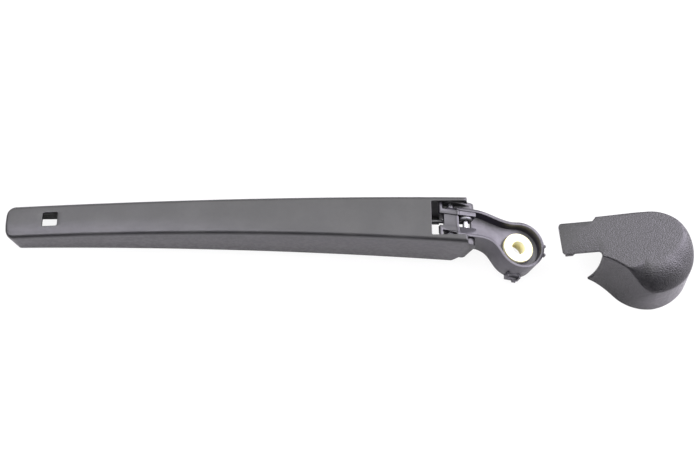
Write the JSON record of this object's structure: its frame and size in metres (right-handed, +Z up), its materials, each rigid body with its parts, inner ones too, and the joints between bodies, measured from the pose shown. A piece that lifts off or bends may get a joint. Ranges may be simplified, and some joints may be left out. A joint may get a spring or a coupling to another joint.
{
  "type": "rear wiper arm",
  "caption": "Hollow rear wiper arm with a slotted tip, hinged on an offset channel head with a toothed spindle insert, and a loose domed cover cap.",
  "frame": {"origin": "on the spindle axis, at the nut seat of the insert", "axes": "+X away from the arm's tip, +Z up from the table on which the arm lies, Y along the pivot pin"},
  "size_m": [0.438, 0.066, 0.0369],
  "materials": {
    "arm_plastic": "satin moulded grey plastic",
    "head_plastic": "satin moulded light grey plastic",
    "plated_zinc": "bright pale yellow plated metal",
    "pin_steel": "plain ground steel",
    "spring_steel": "dark phosphated spring wire",
    "cap_plastic": "fine grained moulded grey plastic"
  },
  "bodies": {
    "head": {"mount_head": "head_plastic", "spindle_insert": "plated_zinc", "link_pin": "pin_steel", "cap": "cap_plastic"},
    "arm": {"arm_shell": "arm_plastic", "pivot_pin": "pin_steel", "tension_spring": "spring_steel"}
  },
  "joints": [
    {"name": "arm_lift", "type": "hinge", "parent": "head", "child": "arm", "pos_m": [-0.04347, 0.0113, 0.01165], "axis": [0, 1, 0], "range_deg": [0, 75], "stiffness_Nm_per_rad": 0.6, "springref_deg": -51.57, "deforming": ["tension_spring"]}
  ]
}
